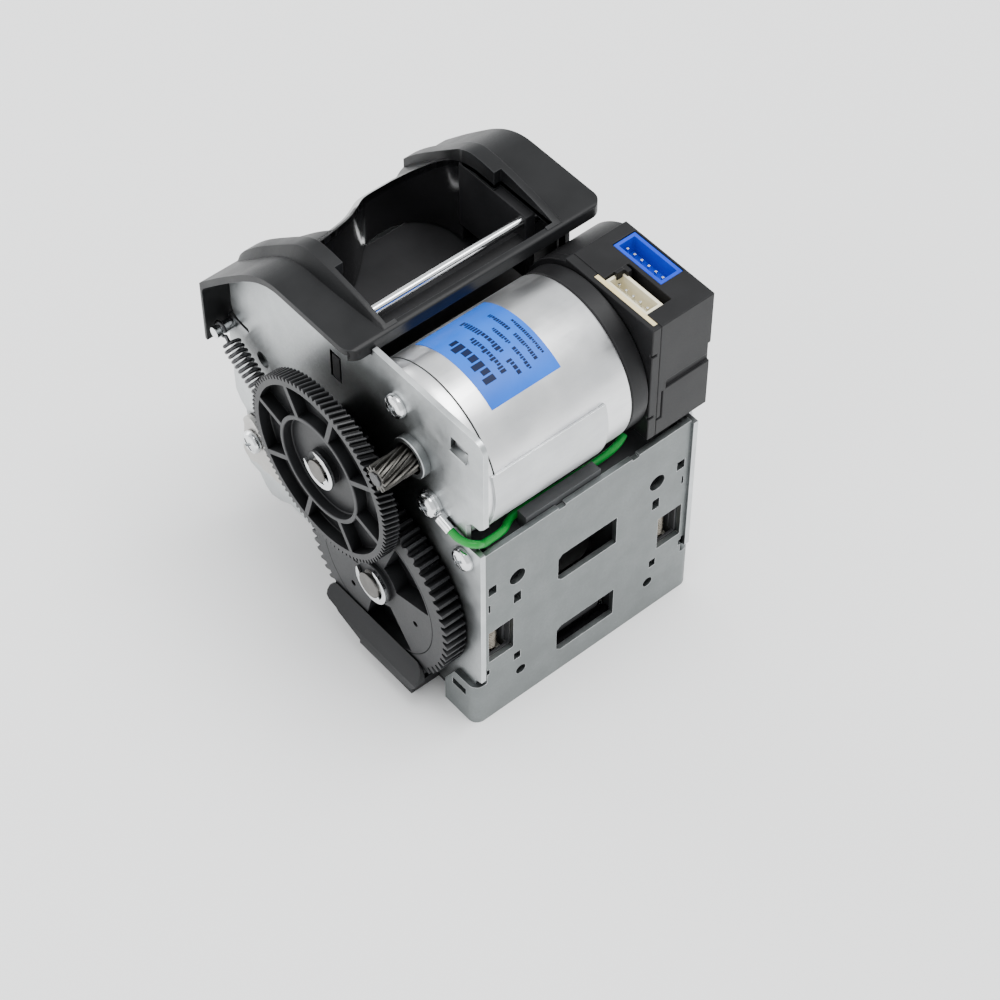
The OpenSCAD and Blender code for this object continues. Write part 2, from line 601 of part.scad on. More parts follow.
module compound_gear() color("#55575c") difference() {
  union() {
    side(wheel_x, wheel_t) gear_at(wheel_y, wheel_z, wheel_n, mod_a, 2,
      mesh_a + 180 + 180 / wheel_n);
    side(wheel_x + wheel_t - 0.1, xl - 0.7 - wheel_x - wheel_t + 0.1)
      gear_at(wheel_y, wheel_z, small_n, mod_b, 3, mesh_b);
  }
  bar(wheel_x - 1, xl, wheel_y, wheel_z, 2.5 + run);
  // dished centre with a hub, and eight pockets between the ribs
  side(wheel_x - 1, 3.2) translate([wheel_y, wheel_z]) difference() { circle(11.1); circle(3.9); }
  side(wheel_x - 1, 1.8) translate([wheel_y, wheel_z]) circle(5.2);
  side(wheel_x - 1, 3.6) translate([wheel_y, wheel_z]) difference() {
    circle(18.9);
    circle(12.1);
    for (a = [0 : 45 : 315]) rotate(a + 11) translate([11, -0.6]) square([9, 1.2]);
  }
  side(wheel_x - 1, wheel_t + 1) translate([wheel_y, wheel_z]) rotate(-22) translate([19.6, 0]) circle(0.35);
}

module feed_gear() color("#5b5d62") difference() {
  union() {
    side(feed_x, feed_t) gear_at(feed_y, feed_z, feed_n, mod_b, 2, mesh_b + 180 + 180 / feed_n);
    bar(feed_x - 1, xl - 0.3, feed_y, feed_z, 4.85);
  }
  bar(feed_x - 2, xl, feed_y, feed_z, feed_r);
  side(feed_x - 1, 2.6) translate([feed_y, feed_z]) for (a = [112, 232, 352]) rotate(a)
    difference() {
      circle(16.8);
      circle(6.2);
      translate([-20, -40]) square([40, 40]);
      rotate(53) translate([-20, 0]) square([40, 40]);
    }
  for (a = [192, 312, 72]) translate([feed_x - 1, feed_y, feed_z - hole_z]) rotate([a, 0, 0])
    translate([0, 12.2, 0]) rotate([0, 90, 0]) cylinder(h = 1.6, r = 0.7);
}
module feed_shaft() color("silver") difference() {
  bar(feed_x - 2.3, -xl + 1.9, feed_y, feed_z, feed_r);
  for (x = [feed_x - 1 - clip_t, -xl + 0.3]) side(x, clip_t) translate([feed_y, feed_z])
    difference() { circle(5); circle(2.4); }
}
module feed_clips() color("whitesmoke") {
  clip(feed_x - 1 - clip_t, feed_y, feed_z, 60, 4.75, 2.4);
  clip(-xl + 0.3, feed_y, feed_z, 60, 4.75, 2.4);
}
module feed_bushes() color("#b08d57") both() difference() {
  union() {
    bar(xl, xi, feed_y, feed_z, 4);
    bar(xi, xi + 1, feed_y, feed_z, 5.2);
  }
  bar(xl - 1, xi + 2, feed_y, feed_z, feed_r + run);
}
module drum_core() color("#3a3b3f") difference() {
  union() {
    bar(-6.5, 6.5, feed_y, feed_z, 6);
    bar(-1, 1, feed_y, feed_z, drum_r - 3);
    difference() {
      bar(-6.5, 6.5, feed_y, feed_z, drum_r - 1.8);
      bar(-7, 7, feed_y, feed_z, drum_r - 3.4);
    }
  }
  bar(-8, 8, feed_y, feed_z, feed_r);
}
module drum_tyre() color("#1b1b1d") difference() {
  bar(-6.5, 6.5, feed_y, feed_z, drum_r);
  bar(-8, 8, feed_y, feed_z, drum_r - 1.8);
}

// ---------- sprung rear pinch rollers ----------
arm_x = 19;
module pinch_bracket() color("silver") difference() {
  union() {
    both() side(arm_x, 1.2) polygon([[pivot_y - 3.8, pivot_z + 3.4], [pivot_y + 3.4, pivot_z + 3.4],
      [pivot_y + 4.4, pivot_z + 1], [pivot_y + 4.4, pinch_z + 2], [pinch_y + 3, pinch_z - 3.4],
      [pinch_y - 2.6, pinch_z - 3.4], [pinch_y - 2.9, pinch_z + 2], [pivot_y - 3.8, pivot_z - 4]]);
    box(-arm_x - 0.2, arm_x + 0.2, pivot_y + 3.2, pivot_y + 4.4, pinch_z + 4, pivot_z + 1);
  }
  both() bar(arm_x - 1, arm_x + 3, pivot_y, pivot_z, 2);
  both() bar(arm_x - 1, arm_x + 3, pinch_y, pinch_z, 1.5);
}
module pinch_pivot() color("silver") bar(xl - 2, -xl + 0.8, pivot_y, pivot_z, 2);
module pinch_lever() color("gainsboro") {
  side(xl - 1.7, 1.2) difference() {
    union() {
      dot([pivot_y, pivot_z], 4);
      dot([hook_y, hook_z], 2);
      translate([pivot_y, pivot_z]) rotate(45) translate([0, -2]) square([7.9, 4]);
    }
    dot([pivot_y, pivot_z], 2);
  }
  bar(xl - 4.6, xl - 1.6, hook_y, hook_z, 0.9);
}
module pinch_axle() color("silver") bar(-arm_x - 1.6, arm_x + 1.6, pinch_y, pinch_z, 1.5);
module pinch_roller() color("#1d1d1f") difference() {
  bar(-6, 6, pinch_y, pinch_z, pinch_r);
  bar(-7, 7, pinch_y, pinch_z, 1.5 + run);
}
spring_l = norm([post_y - hook_y, post_z - hook_z]);
spring_a = atan2(post_z - hook_z, post_y - hook_y);
module tension_spring() color("#4c4d50")
  translate([xl - 3, hook_y, hook_z - hole_z]) rotate([spring_a - 90, 0, 0])
    wire(spring_path(spring_l, 1.8, 1.7, 11, 12), 0.27, 6, [1, 0, 0]);

// ---------- sprung front idler ----------
module slide_blocks() color("#d8d4c8") both() difference() {
  union() {
    box(idler_x - 2.45, idler_x + 2.45, 3.2, 11.2, 6.4, 14.2);
    for (x = [-2.45, 1.45]) box(idler_x + x, idler_x + x + 1, 3.2, 5.2, 14.1, 16.4);
    bar(idler_x - 2, idler_x + 2, 4.2, 16.05, 0.45);
  }
  bar(idler_x - 3, idler_x + 1.4, idler_y, idler_z, 1.5);
}
module idler_axle() color("silver") bar(-idler_x - 1.4, idler_x + 1.4, idler_y, idler_z, 1.5);
module idler_roller() color("#9b9a94") difference() {
  bar(-5.6, 5.6, idler_y, idler_z, idler_r);
  bar(-7, 7, idler_y, idler_z, 1.5 + run);
}
module idler_springs() color("#77787c") both() {
  translate([idler_x, 4.2, 17.2 - hole_z]) rotate_extrude() difference() {
    union() for (i = [0 : coils]) translate([1.6, i * 0.48]) circle(0.27);
    translate([-5, 0]) square([5, 20]);
  }
  for (z = [16.35, 18.05 + coils * 0.48])
    translate([idler_x, 4.2, z - hole_z]) rotate([0, 90, 0])
      rotate_extrude() translate([1.35, 0]) circle(0.27);
}

left_side_plate();
right_side_plate();
front_plate();
rear_stay();
top_cover();
front_guide();
rear_guide();
lower_guide();
front_block();
mouth_rod();
spring_post();
plate_screws();
lever_screw();
latch_lever();
feed_bushes();
gear_stub();
stub_clip();
motor_can();
flux_ring();
motor_label();
motor_boss();
motor_end_ring();
motor_screws();
encoder_base();
encoder_cap();
encoder_board();
signal_header();
power_header();
header_pins();
ring_terminal();
ground_wire();
motor_armature();
motor_shaft();
motor_pinion();
encoder_disc();
compound_gear();
feed_shaft();
feed_gear();
feed_clips();
drum_core();
drum_tyre();
pinch_bracket();
pinch_pivot();
pinch_lever();
pinch_axle();
pinch_roller();
tension_spring();
slide_blocks();
idler_axle();
idler_roller();
idler_springs();
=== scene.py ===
import json
from math import acos, cos, pi, radians, sin, tan

import bmesh
import bpy
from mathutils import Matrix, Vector, noise
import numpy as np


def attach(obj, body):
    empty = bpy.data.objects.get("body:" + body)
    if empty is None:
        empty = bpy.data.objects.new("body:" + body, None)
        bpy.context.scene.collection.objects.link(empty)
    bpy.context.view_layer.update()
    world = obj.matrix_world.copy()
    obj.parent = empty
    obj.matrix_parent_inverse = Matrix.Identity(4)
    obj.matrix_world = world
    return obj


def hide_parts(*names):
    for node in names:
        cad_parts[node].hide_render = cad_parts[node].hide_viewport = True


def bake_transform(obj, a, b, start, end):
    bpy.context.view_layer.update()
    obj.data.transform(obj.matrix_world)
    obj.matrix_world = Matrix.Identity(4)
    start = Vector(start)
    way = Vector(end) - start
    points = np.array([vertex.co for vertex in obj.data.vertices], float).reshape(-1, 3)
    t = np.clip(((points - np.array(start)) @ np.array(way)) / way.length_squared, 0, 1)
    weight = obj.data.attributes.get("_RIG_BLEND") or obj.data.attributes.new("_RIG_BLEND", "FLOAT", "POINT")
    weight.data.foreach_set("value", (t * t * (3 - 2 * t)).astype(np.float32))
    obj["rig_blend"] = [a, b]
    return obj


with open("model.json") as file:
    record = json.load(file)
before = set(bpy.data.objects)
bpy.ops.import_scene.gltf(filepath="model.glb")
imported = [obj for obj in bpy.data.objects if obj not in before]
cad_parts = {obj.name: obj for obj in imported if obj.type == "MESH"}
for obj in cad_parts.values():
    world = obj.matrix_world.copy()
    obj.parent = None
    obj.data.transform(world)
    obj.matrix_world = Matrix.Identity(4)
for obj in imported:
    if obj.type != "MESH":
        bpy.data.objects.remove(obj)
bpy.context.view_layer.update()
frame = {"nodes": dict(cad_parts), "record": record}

# All sizes below are in mm, with heights above the base that the object stands on.
HOLE_Z = 40.4          # height of the front plate's upper holes, where the row frame starts
XL, XI = -28.0, -26.8  # outer and inner face of the left side plate


def P(x, y, z):
    """A point in mm, height above the base, as a point in the row frame."""
    return Vector((x, y, z - HOLE_Z)) * 0.001


# ---------------------------------------------------------------- camera
cam = bpy.data.objects.new("camera", bpy.data.cameras.new("camera"))
bpy.context.scene.collection.objects.link(cam)
bpy.context.scene.camera = cam
cam.location = P(-242.4, -259.6, 480.6)
AZIMUTH, ELEVATION = radians(-40.239), radians(50.558)
BACK = Vector((sin(AZIMUTH) * cos(ELEVATION), -cos(AZIMUTH) * cos(ELEVATION), sin(ELEVATION)))
cam.rotation_mode = "QUATERNION"
cam.rotation_quaternion = (-BACK).to_track_quat("-Z", "Y")
cam.data.sensor_width = 36
cam.data.lens = 103.68
cam.data.clip_start, cam.data.clip_end = 0.01, 20


# ---------------------------------------------------------------- materials
class Shader:
    """Builds one material's node tree, all of it in the object's own coordinates."""

    def __init__(self, name):
        self.mat = bpy.data.materials.new(name)
        self.mat.use_nodes = True
        self.tree = self.mat.node_tree
        self.bsdf = self.tree.nodes["Principled BSDF"]
        self.coord = self.tree.nodes.new("ShaderNodeTexCoord").outputs["Object"]

    def node(self, kind, **values):
        n = self.tree.nodes.new("ShaderNode" + kind)
        for k, v in values.items():
            if k in n.inputs:
                n.inputs[k].default_value = v
            else:
                setattr(n, k, v)
        return n

    def link(self, a, b):
        self.tree.links.new(a, b)

    def set(self, **values):
        for k, v in values.items():
            self.bsdf.inputs[k.replace("_", " ")].default_value = v

    def stretched(self, scale):
        m = self.node("Mapping", Scale=scale)
        self.link(self.coord, m.inputs["Vector"])
        return m.outputs["Vector"]

    def noise(self, scale, detail=3.0, rough=0.55, stretch=None):
        n = self.node("TexNoise", Scale=scale, Detail=detail, Roughness=rough)
        self.link(self.stretched(stretch) if stretch else self.coord, n.inputs["Vector"])
        return n.outputs["Fac"]

    def ramp(self, fac, stops):
        n = self.node("ValToRGB")
        elements = n.color_ramp.elements
        while len(elements) < len(stops):
            elements.new(0.5)
        for e, (place, tone) in zip(elements, stops):
            e.position = place
            e.color = (*tone, 1) if hasattr(tone, "__len__") else (tone, tone, tone, 1)
        self.link(fac, n.inputs["Fac"])
        return n.outputs["Color"]

    def math(self, op, a, b):
        n = self.node("Math", operation=op)
        for i, v in enumerate((a, b)):
            if isinstance(v, (int, float)):
                n.inputs[i].default_value = v
            else:
                self.link(v, n.inputs[i])
        return n.outputs[0]

    def mix(self, fac, a, b, kind="MIX"):
        n = self.node("Mix", data_type="RGBA", blend_type=kind)
        for sock, v in ((n.inputs[0], fac), (n.inputs[6], a), (n.inputs[7], b)):
            if isinstance(v, (int, float)):
                sock.default_value = v
            elif isinstance(v, (tuple, list)):
                sock.default_value = (*v, 1) if len(v) == 3 else v
            else:
                self.link(v, sock)
        return n.outputs[2]

    def edges(self, radius, low=0.02, high=0.25):
        """1 where an edge is near, by comparing the rounded normal with the true one."""
        bevel = self.node("Bevel", Radius=radius, samples=6)
        geo = self.node("NewGeometry")
        dot = self.node("VectorMath", operation="DOT_PRODUCT")
        self.link(bevel.outputs[0], dot.inputs[0])
        self.link(geo.outputs["Normal"], dot.inputs[1])
        return self.ramp(self.math("SUBTRACT", 1.0, dot.outputs["Value"]), [(low, 0.0), (high, 1.0)])

    def openness(self, reach, stops):
        """A ramp from places with other parts close by to open ones; it drives the painted shade."""
        ao = self.node("AmbientOcclusion", Distance=reach, samples=8)
        return self.ramp(ao.outputs["AO"], stops)

    def shade(self, colour, reach, low):
        """Paints shade into a colour: darkens it where other parts stand close, where shade would fall."""
        return self.mix(1.0, colour, self.openness(reach, [(0.35, low), (0.95, 1.0)]), "MULTIPLY")

    def bump(self, parts, distance=0.00002, radius=0.0):
        last = None
        if radius:
            last = self.node("Bevel", Radius=radius, samples=6).outputs[0]
        for height, strength in parts:
            b = self.node("Bump", Strength=strength, Distance=distance)
            self.link(height, b.inputs["Height"])
            if last:
                self.link(last, b.inputs["Normal"])
            last = b.outputs["Normal"]
        if last:
            self.link(last, self.bsdf.inputs["Normal"])

    def colour(self, socket):
        self.link(socket, self.bsdf.inputs["Base Color"])

    def rough(self, broad, fine, share, low, high):
        """Roughness from low to high, following a blend of two noises."""
        both = self.math("ADD", self.math("MULTIPLY", broad, share), self.math("MULTIPLY", fine, 1 - share))
        self.link(self.ramp(both, [(0.3, low), (0.7, high)]), self.bsdf.inputs["Roughness"])


def metal(name, dark, light, rough, grain=1400, worn=(0.86, 0.87, 0.88), stretch=None,
          edge=0.00022, bump=0.25, mottle=160, near=0.0):
    """Mottled metal with paler edges; near is how dark the painted shade gets beside other parts."""
    s = Shader(name)
    s.set(Metallic=1.0)
    broad = s.noise(mottle, 4)
    fine = s.noise(grain, 3, stretch=stretch)
    base = s.mix(s.ramp(broad, [(0.3, 0.0), (0.7, 1.0)]), dark, light)
    base = s.mix(s.ramp(fine, [(0.35, 0.0), (0.75, 0.35)]), base, tuple(c * 0.8 for c in light))
    base = s.mix(s.edges(edge), base, worn)
    # painted shade: the colour darkens where other parts stand close
    s.colour(s.shade(base, 0.018, near) if near else base)
    s.rough(broad, fine, 0.6, rough - 0.09, rough + 0.1)
    s.bump([(fine, bump), (s.noise(60, 2), 0.06)], radius=edge * 0.5)
    return s.mat


def plastic(name, dark, light, rough, grain=2600, bump=0.35, edge_highlight_tone=None, edge=0.00025,
            spread=0.08, coat=0.0, spec=0.5, mottle=90, near=0.0, reach=0.006):
    """Moulded plastic or rubber with paler edges as a painted highlight; near and reach set how dark the
    painted shade in its deep recesses gets.
    """
    s = Shader(name)
    s.set(Specular_IOR_Level=spec, Coat_Weight=coat, Coat_Roughness=0.12)
    broad = s.noise(mottle, 4)
    fine = s.noise(grain, 2)
    base = s.mix(s.ramp(broad, [(0.32, 0.0), (0.68, 1.0)]), dark, light)
    # painted highlight: edges get a paler colour, where rounded edges catch the light
    base = s.mix(s.edges(edge), base, edge_highlight_tone or tuple(min(1, c * 1.5 + 0.02) for c in light))
    # painted shade: the colour darkens in deep recesses and where other parts stand close
    s.colour(s.shade(base, reach, near) if near else base)
    if near:
        # painted shade on the reflections too: the specular level drops in the same recesses
        recess_dimmed_specular = s.openness(reach, [(0.4, spec * 0.15), (0.95, spec)])
        s.link(recess_dimmed_specular, s.bsdf.inputs["Specular IOR Level"])
    s.rough(broad, fine, 0.7, rough - spread, rough + spread)
    s.bump([(fine, bump)], radius=edge * 0.6)
    return s.mat


M = {
    # metals
    # zinc: painted shade darkens it beside the gears and the pinion
    "zinc": metal("zinc", (0.49, 0.514, 0.522), (0.64, 0.664, 0.67), 0.38, near=0.15),
    # the side plates' zinc painted darker for the front plate: painted shade, as the front plate gets little
    # light
    "shaded_front_zinc": metal("shaded_front_zinc", (0.158, 0.172, 0.172), (0.226, 0.243, 0.243), 0.44, grain=1700,
                        worn=(0.7, 0.71, 0.72)),
    "bright": metal("bright", (0.72, 0.74, 0.75), (0.9, 0.91, 0.92), 0.17, edge=0.00012, mottle=500,
                    bump=0.12),
    "can": metal("can", (0.80, 0.81, 0.82), (0.93, 0.935, 0.94), 0.34, grain=900,
                 stretch=(0.15, 1, 1), edge=0.0003, mottle=120),
    "ring_steel": metal("ring_steel", (0.56, 0.575, 0.585), (0.70, 0.715, 0.725), 0.36, grain=900,
                        stretch=(0.15, 1, 1), edge=0.0003, mottle=120),
    "chrome": metal("chrome", (0.80, 0.81, 0.82), (0.92, 0.92, 0.93), 0.12, grain=600,
                    stretch=(4, 1, 1), bump=0.06, edge=0.0001),
    "dark_steel": metal("dark_steel", (0.10, 0.096, 0.09), (0.19, 0.182, 0.17), 0.38, edge=0.00008,
                        worn=(0.55, 0.54, 0.52), mottle=400),
    "pinion": metal("pinion", (0.06, 0.058, 0.053), (0.12, 0.115, 0.106), 0.36, edge=0.00008,
                    worn=(0.26, 0.25, 0.24), mottle=400),
    "spring_dark": metal("spring_dark", (0.04, 0.04, 0.042), (0.10, 0.10, 0.104), 0.30, edge=0.00005,
                         worn=(0.3, 0.3, 0.3), mottle=500),
    "spring_light": metal("spring_light", (0.24, 0.215, 0.18), (0.42, 0.385, 0.33), 0.28,
                          edge=0.00005, mottle=500),
    "brass": metal("brass", (0.5, 0.38, 0.2), (0.66, 0.52, 0.3), 0.38, edge=0.0001),
    "copper": metal("copper", (0.45, 0.22, 0.12), (0.6, 0.32, 0.18), 0.35, edge=0.0001),
    "lever": metal("lever", (0.46, 0.45, 0.43), (0.6, 0.585, 0.56), 0.42, edge=0.0003),
    # black and grey mouldings, rubber
    "hood": plastic("hood", (0.006, 0.0062, 0.0068), (0.010, 0.0103, 0.0111), 0.42,
                    edge_highlight_tone=(0.045, 0.047, 0.05), spec=0.22),
    "scoop": plastic("scoop", (0.006, 0.006, 0.0066), (0.010, 0.010, 0.011), 0.19, bump=0.12,
                     spread=0.05, spec=0.4, coat=0.5),
    "deep": plastic("deep", (0.008, 0.008, 0.0088), (0.014, 0.014, 0.0152), 0.5, spec=0.17),
    "guard": plastic("guard", (0.009, 0.0092, 0.010), (0.014, 0.0142, 0.0155), 0.48,
                     edge_highlight_tone=(0.05, 0.051, 0.054), spec=0.24),
    "encoder": plastic("encoder", (0.008, 0.008, 0.0085), (0.013, 0.013, 0.014), 0.42,
                       edge_highlight_tone=(0.05, 0.05, 0.053), spec=0.2),
    "block": plastic("block", (0.035, 0.036, 0.038), (0.055, 0.056, 0.059), 0.45),
    # gear: painted shade darkens it between its teeth and in its pockets
    "gear": plastic("gear", (0.017, 0.0174, 0.0187), (0.028, 0.0285, 0.0305), 0.40,
                    edge_highlight_tone=(0.085, 0.085, 0.09), edge=0.00014, spec=0.30, near=0.2, reach=0.005),
    "rubber": plastic("rubber", (0.012, 0.012, 0.012), (0.02, 0.02, 0.02), 0.7, grain=1800, bump=0.6),
    # light and coloured pieces
    "ivory": plastic("ivory", (0.5, 0.48, 0.42), (0.6, 0.58, 0.52), 0.45),
    "cream": plastic("cream", (0.72, 0.66, 0.47), (0.82, 0.77, 0.60), 0.42,
                     edge_highlight_tone=(0.9, 0.87, 0.75)),
    "board": plastic("board", (0.72, 0.58, 0.28), (0.86, 0.74, 0.44), 0.5, grain=900, bump=0.5,
                     edge_highlight_tone=(0.9, 0.82, 0.55)),
    "blue": plastic("blue", (0.003, 0.035, 0.50), (0.006, 0.06, 0.66), 0.36,
                    edge_highlight_tone=(0.02, 0.16, 0.85), spec=0.3),
    "green": plastic("green", (0.001, 0.24, 0.028), (0.003, 0.35, 0.045), 0.36, grain=1200, bump=0.1,
                     edge_highlight_tone=(0.02, 0.42, 0.08), spec=0.35),
    "label": plastic("label", (0.006, 0.115, 0.60), (0.010, 0.145, 0.70), 0.36, grain=1500,
                     bump=0.05, edge_highlight_tone=(0.05, 0.25, 0.8), edge=0.00002, spec=0.22),
    "ink": plastic("ink", (0.003, 0.008, 0.035), (0.005, 0.012, 0.05), 0.5, grain=1500, bump=0.05,
                   edge_highlight_tone=(0.006, 0.014, 0.055), edge=0.00001, spec=0.15),
    "disc": plastic("disc", (0.5, 0.55, 0.58), (0.6, 0.64, 0.68), 0.1),
}


# ---------------------------------------------------------------- mesh helpers
def piece(name, verts, faces, mat, body, slot, sharp=35, bevel=0.0, segments=2):
    """A new mesh of the object from points in mm (height above the base)."""
    me = bpy.data.meshes.new(name)
    me.from_pydata([P(*v) for v in verts], [], faces)
    return finish_piece(name, me, mat, body, sharp, bevel, segments)


def shade_smooth(me, sharp):
    for p in me.polygons:
        p.use_smooth = True
    me.set_sharp_from_angle(angle=radians(sharp))


def finish_piece(name, me, mat, body, sharp=35, bevel=0.0, segments=2, clean=True):
    bm = bmesh.new()
    bm.from_mesh(me)
    if clean:
        bmesh.ops.remove_doubles(bm, verts=bm.verts, dist=2e-6)
    bmesh.ops.recalc_face_normals(bm, faces=bm.faces)
    bm.to_mesh(me)
    bm.free()
    shade_smooth(me, sharp)
    ob = bpy.data.objects.new(name, me)
    bpy.context.scene.collection.objects.link(ob)
    me.materials.clear()
    me.materials.append(M[mat])
    if bevel:
        b = ob.modifiers.new("bevel", "BEVEL")
        b.width, b.segments = bevel * 0.001, segments
        b.limit_method, b.angle_limit = "ANGLE", radians(sharp)
        b.harden_normals = True
        b.use_clamp_overlap = True
    if body:
        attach(ob, body)
    return ob


BODY_OF = {n: b for b, ns in frame["record"]["behaviour"]["bodies"].items() for n in ns}
SLOT_OF = {s["node"]: s["material_slot"] for s in frame["record"]["subparts"]}
HOOD_SLOT = SLOT_OF["top_cover"]
SHARP = 32   # edges above this angle, in degrees, stay sharp


def soften(node, mat, bevel):
    """The CAD node's own shape with its edges broken, in a finished material."""
    me = bpy.data.meshes.new(node + "_looks")
    bm = bmesh.new()
    bm.from_mesh(frame["nodes"][node].data)
    bmesh.ops.remove_doubles(bm, verts=bm.verts, dist=3e-6)
    bmesh.ops.dissolve_limit(bm, angle_limit=radians(0.6), verts=bm.verts, edges=bm.edges)
    for layer in list(bm.loops.layers.uv):
        bm.loops.layers.uv.remove(layer)
    bm.to_mesh(me)
    bm.free()
    for name in [a.name for a in me.attributes if a.name in ("custom_normal", "sharp_face", "sharp_edge")]:
        me.attributes.remove(me.attributes[name])
    ob = finish_piece(node + "_v", me, mat, BODY_OF[node], SHARP, bevel, clean=False)
    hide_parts(node)
    return ob


def tube(name, path, r, mat, body, slot, sides=14):
    """A round wire along points in mm."""
    pts = [Vector(p) for p in path]
    verts, faces = [], []
    u = None
    last = len(pts) - 1
    turn = [2 * pi * s / sides for s in range(sides)]
    for i, p in enumerate(pts):
        t = (pts[min(i + 1, last)] - pts[max(i - 1, 0)]).normalized()
        if u is None:
            u = t.orthogonal().normalized()
        u = (u - t * u.dot(t)).normalized()
        w = t.cross(u)
        verts += [tuple(p + (u * cos(a) + w * sin(a)) * r) for a in turn]
    for i in range(last):
        a, b = i * sides, (i + 1) * sides
        faces += [(a + s, b + s, b + (s + 1) % sides, a + (s + 1) % sides) for s in range(sides)]
    faces += [tuple(range(sides)), tuple(last * sides + s for s in reversed(range(sides)))]
    return piece(name, verts, faces, mat, body, slot, sharp=60)


def smooth_path(points, per=8):
    """Catmull-Rom points through the given ones."""
    pts = [Vector(p) for p in points]
    out = []
    for i in range(len(pts) - 1):
        a, b, c, d = pts[max(i - 1, 0)], pts[i], pts[i + 1], pts[min(i + 2, len(pts) - 1)]
        for k in range(per):
            t = k / per
            out.append(0.5 * ((2 * b) + (c - a) * t + (2 * a - 5 * b + 4 * c - d) * t ** 2
                              + (3 * b - a - 3 * c + d) * t ** 3))
    return out + [pts[-1]]


def smooth(points, per):
    """A smooth plane curve through the given points."""
    return [(v.x, v.y) for v in smooth_path([(*p, 0) for p in points], per)]


def offset(path, t):
    """The plane path moved sideways by t."""
    out = []
    for i, (y, z) in enumerate(path):
        a, b = path[max(i - 1, 0)], path[min(i + 1, len(path) - 1)]
        d = Vector((b[0] - a[0], b[1] - a[1])).normalized()
        out.append((y + t * d.y, z - t * d.x))
    return out


def arc(y, z, r, a0, a1, steps):
    """Points on a circle from angle a0 to a1, in degrees."""
    angles = [radians(a0 + (a1 - a0) * k / steps) for k in range(steps + 1)]
    return [(y + r * cos(a), z + r * sin(a)) for a in angles]


def polar(centre, r, a):
    """The place at radius r and angle a, in degrees, from a centre (y, z)."""
    return centre[0] + r * cos(radians(a)), centre[1] + r * sin(radians(a))


def lathe(rings, y, z, seg=96, a0=0.0, a1=360.0):
    """Vertices and faces of a profile [(x, r), ...] turned about an X axis at y, z."""
    full = abs(a1 - a0 - 360) < 1e-6
    n = seg if full else seg + 1
    angles = [radians(a0 + (a1 - a0) * k / seg) for k in range(n)]
    verts = [(x, y + r * cos(a), z + r * sin(a)) for x, r in rings for a in angles]
    faces = [(i * n + k, i * n + (k + 1) % n, (i + 1) * n + (k + 1) % n, (i + 1) * n + k)
             for i in range(len(rings) - 1) for k in range(seg)]
    if not full:
        faces += [tuple(i * n + k for i in range(len(rings) - 1)) for k in (0, seg)]
    return verts, faces


def bar(x0, x1, r0, r1):
    """The closed profile of a plain ring, for lathe."""
    return [(x0, r0), (x0, r1), (x1, r1), (x1, r0), (x0, r0)]


def join(parts):
    verts, faces = [], []
    for v, f in parts:
        faces += [tuple(i + len(verts) for i in q) for q in f]
        verts += list(v)
    return verts, faces


def prism(outline, x0, x1):
    """A closed outline [(y, z), ...] pushed from x0 to x1."""
    n = len(outline)
    verts = [(x0, *p) for p in outline] + [(x1, *p) for p in outline]
    return verts, [tuple(range(n)), tuple(range(2 * n - 1, n - 1, -1))] + [
        (i, i + n, (i + 1) % n + n, (i + 1) % n) for i in range(n)]


def block(x0, x1, y0, y1, z0, z1):
    return prism([(y0, z0), (y1, z0), (y1, z1), (y0, z1)], x0, x1)


def upright(outline, z0, z1):
    """A closed plan outline [(x, y), ...] pushed from z0 up to z1."""
    verts, faces = prism(outline, z0, z1)
    return [(b, c, a) for a, b, c in verts], faces


def cut(ob, tools, kind="DIFFERENCE"):
    """Takes the tool solids out of ob, or keeps only what lies in them."""
    verts, faces = join(tools)
    me = bpy.data.meshes.new("cut")
    me.from_pydata([P(*p) for p in verts], [], faces)
    bm = bmesh.new()
    bm.from_mesh(me)
    bmesh.ops.recalc_face_normals(bm, faces=bm.faces)
    bm.to_mesh(me)
    bm.free()
    tool = bpy.data.objects.new("cut", me)
    bpy.context.scene.collection.objects.link(tool)
    others = list(ob.modifiers)
    boolean = ob.modifiers.new("cut", "BOOLEAN")
    boolean.object, boolean.solver, boolean.operation = tool, "EXACT", kind
    ob.modifiers.move(len(ob.modifiers) - 1, 0)
    for m in others:
        m.show_viewport = False
    bpy.context.view_layer.update()
    graph = bpy.context.evaluated_depsgraph_get()
    new = bpy.data.meshes.new_from_object(ob.evaluated_get(graph))
    ob.modifiers.remove(boolean)
    for m in ob.modifiers:
        m.show_viewport = True
    bm = bmesh.new()
    bm.from_mesh(new)
    bmesh.ops.remove_doubles(bm, verts=bm.verts, dist=2e-6)
    bmesh.ops.dissolve_limit(bm, angle_limit=radians(0.4), verts=bm.verts, edges=bm.edges)
    bm.to_mesh(new)
    bm.free()
    old = ob.data
    ob.data = new
    bpy.data.meshes.remove(old)
    bpy.data.objects.remove(tool)
    shade_smooth(new, SHARP)
    return ob


# ---------------------------------------------------------------- gears
FINE, COARSE = 0.42, 0.7   # modules of the motor's pair of gears and of the feed gear's pair
PRESSURE, BACKLASH = radians(20), 0.12
HELIX = tan(radians(17))   # slant of the teeth of the motor's pair
MOTOR = (18.3, 68.0)       # y and height of the motor's axis
# directions, in degrees, from the motor to the wheel and from the wheel to the feed gear
MESH_A, MESH_B = -37.2, -112.6
WHEEL = polar(MOTOR, 23.1, MESH_A)
FEED = polar(WHEEL, 29.4, MESH_B)
WX = XL - 9.8   # front face of the large wheel
FX = XL - 5.3   # front face of the feed gear
RIM = 3.4       # width of the large wheel's rim
PINION = 8.1    # length of the motor's pinion


def involute(a):
    return tan(a) - a


